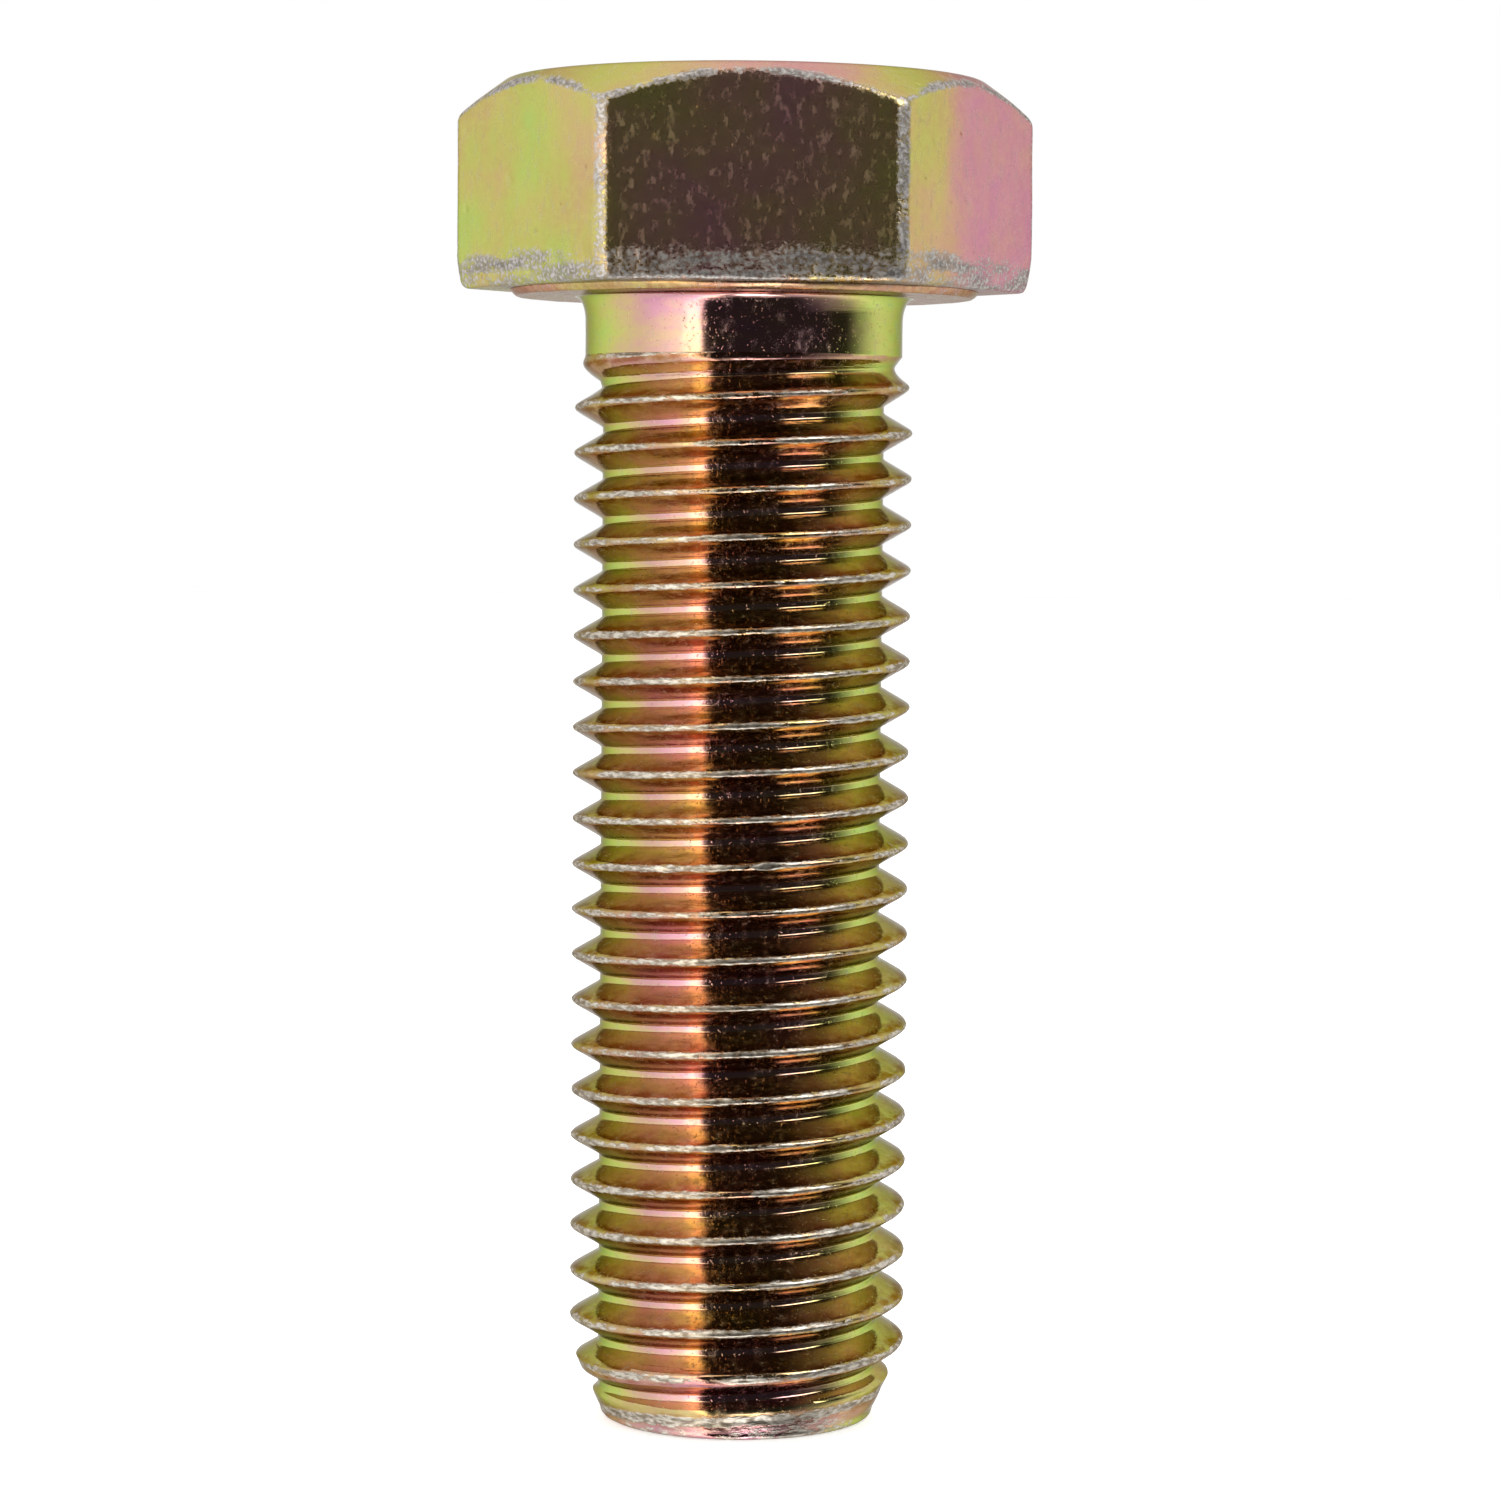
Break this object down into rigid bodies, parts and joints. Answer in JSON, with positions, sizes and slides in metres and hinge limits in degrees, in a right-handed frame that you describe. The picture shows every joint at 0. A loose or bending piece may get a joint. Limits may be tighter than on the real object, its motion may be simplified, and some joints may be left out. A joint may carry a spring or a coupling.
{
  "type": "hex bolt",
  "caption": "Fully threaded steel hex bolt with a washer face, a coarse right-hand thread and a tapered point, in iridescent yellow zinc.",
  "frame": {"origin": "centre of the bearing face, the ring under the head that meets the work", "axes": "+Z along the bolt's axis towards the top of the head, so the shank lies along -Z; -Y square to one wrench flat; +X through one corner"},
  "size_m": [0.032, 0.028, 0.0744],
  "materials": {
    "yellow_zinc_head": "forged steel under iridescent yellow zinc, olive and pink patches",
    "yellow_zinc_thread": "rolled steel under glossy iridescent yellow zinc"
  },
  "bodies": {
    "root": {"hex_head": "yellow_zinc_head", "washer_face": "yellow_zinc_head", "neck": "yellow_zinc_thread", "threaded_shank": "yellow_zinc_thread", "point": "yellow_zinc_thread"}
  },
  "joints": []
}
